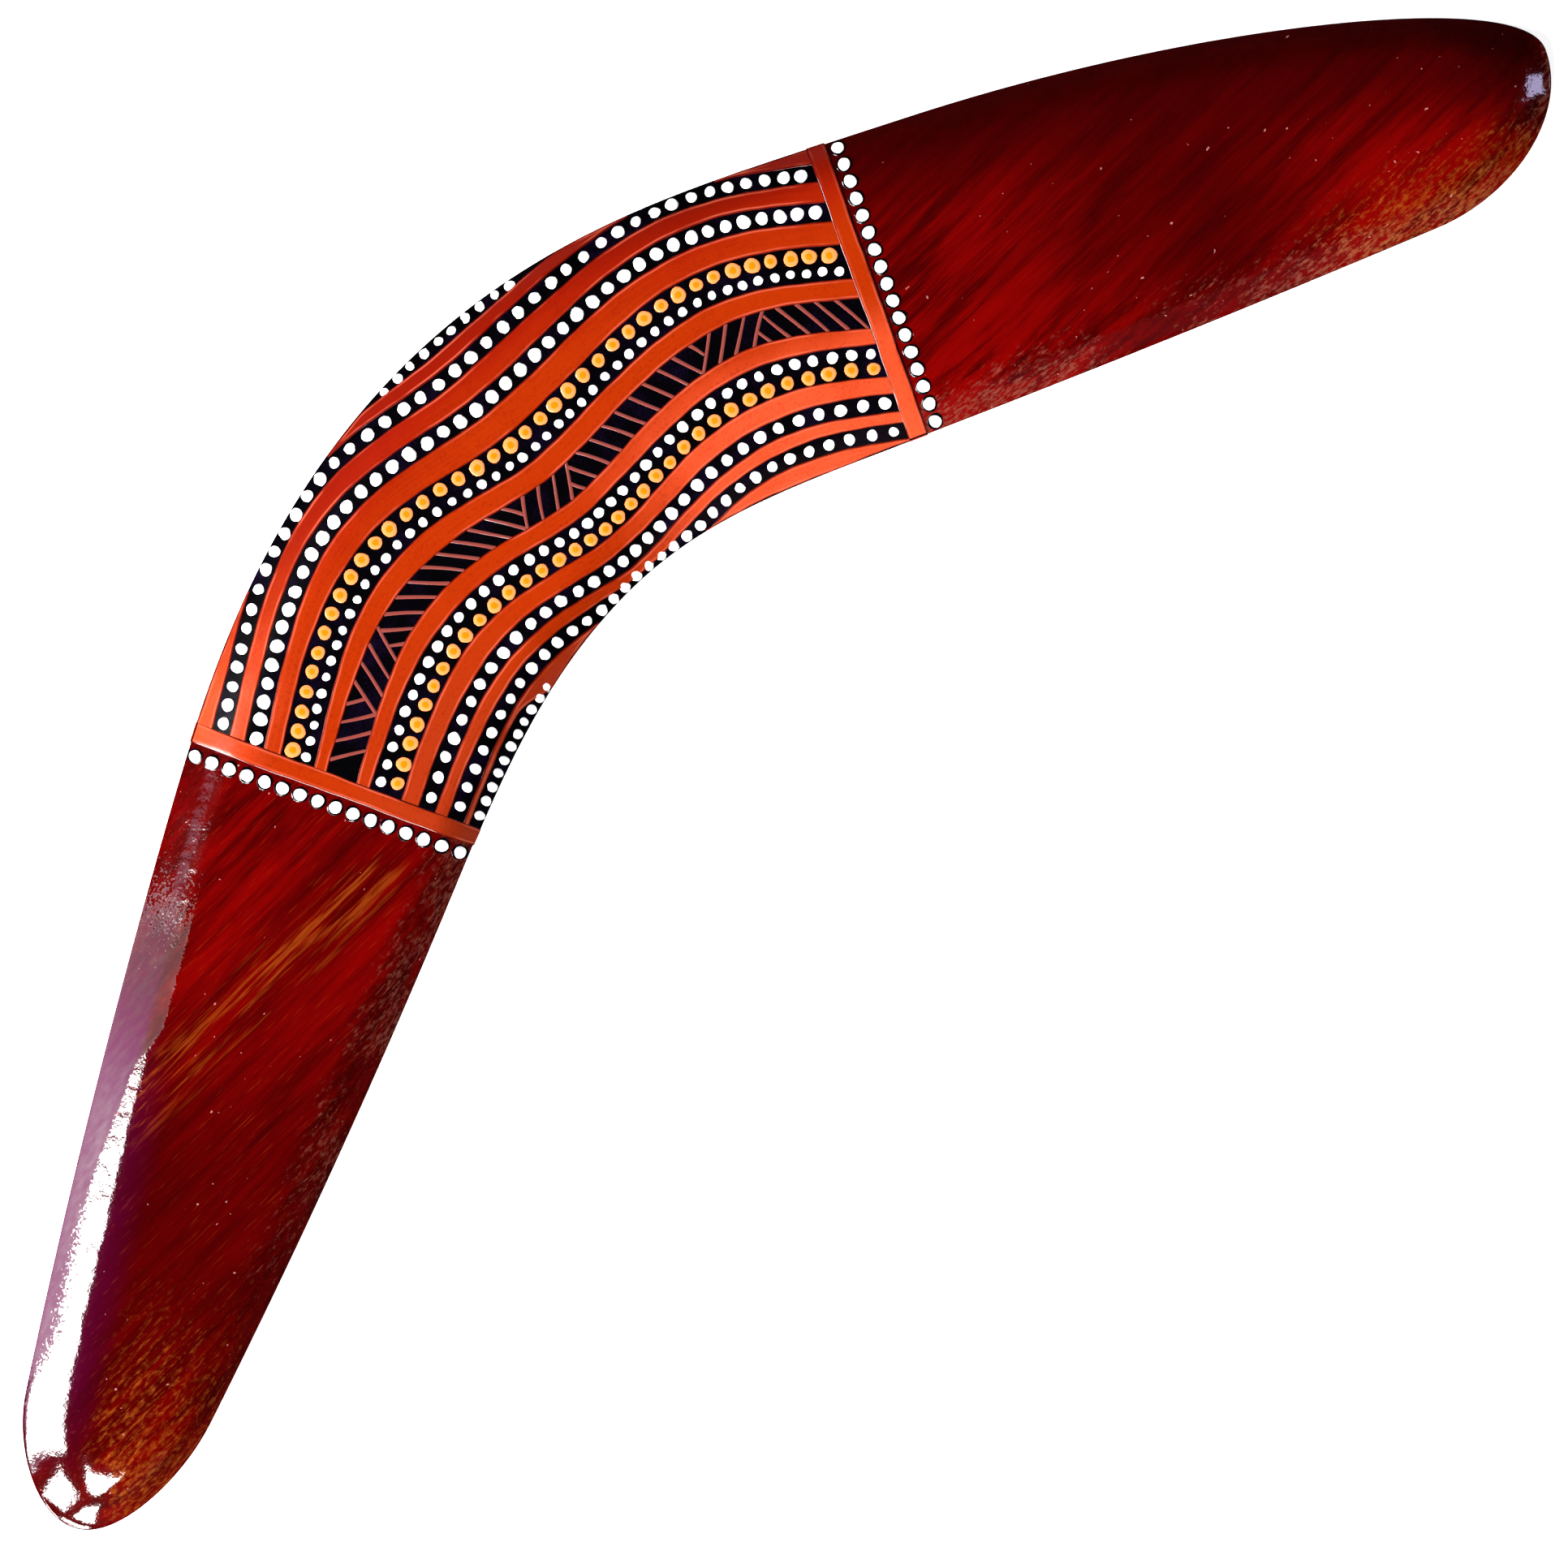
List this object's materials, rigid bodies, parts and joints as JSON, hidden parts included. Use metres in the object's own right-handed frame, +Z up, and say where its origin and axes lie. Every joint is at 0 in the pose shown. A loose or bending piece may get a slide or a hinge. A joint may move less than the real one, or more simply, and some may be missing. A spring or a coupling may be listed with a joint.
{
  "type": "boomerang",
  "caption": "Carved wooden boomerang with two arms, a bevelled upper face, a flat underside and a painted wave-and-dot panel across the elbow.",
  "frame": {"origin": "centre of the bounding box, on the flat underside", "axes": "+X from the left tip to the right tip, +Y towards the elbow's outer edge, +Z up out of the bevelled painted face"},
  "size_m": [0.4062, 0.1248, 0.0098],
  "materials": {
    "stained_wood": "maroon stain under a thick gloss varnish",
    "ochre_paint": "varnished red ochre paint",
    "black_paint": "varnished black paint",
    "white_paint": "varnished white paint",
    "apricot_paint": "varnished pale orange paint",
    "amber_paint": "varnished orange paint",
    "stroke_paint": "varnished dull red paint"
  },
  "bodies": {
    "root": {"carved_blank": "stained_wood", "black_ground_coat": "black_paint", "ochre_stripe_1": "ochre_paint", "ochre_stripe_2": "ochre_paint", "ochre_stripe_3": "ochre_paint", "ochre_stripe_4": "ochre_paint", "ochre_stripe_5": "ochre_paint", "ochre_stripe_6": "ochre_paint", "ochre_stripe_7": "ochre_paint", "ochre_stripe_8": "ochre_paint", "ochre_left_end_strip": "ochre_paint", "ochre_right_end_strip": "ochre_paint", "line_1_white_dots": "white_paint", "line_2_white_dots": "white_paint", "line_3_white_dots": "white_paint", "line_4_apricot_dots": "apricot_paint", "line_4_amber_centres": "amber_paint", "line_4_white_dots": "white_paint", "line_5_hatch_strokes": "stroke_paint", "line_6_white_dots": "white_paint", "line_6_apricot_dots": "apricot_paint", "line_6_amber_centres": "amber_paint", "line_7_white_dots": "white_paint", "line_8_white_dots": "white_paint", "line_9_white_dots": "white_paint", "left_end_black_dots": "black_paint", "left_end_white_dots": "white_paint", "right_end_black_dots": "black_paint", "right_end_white_dots": "white_paint"}
  },
  "joints": []
}
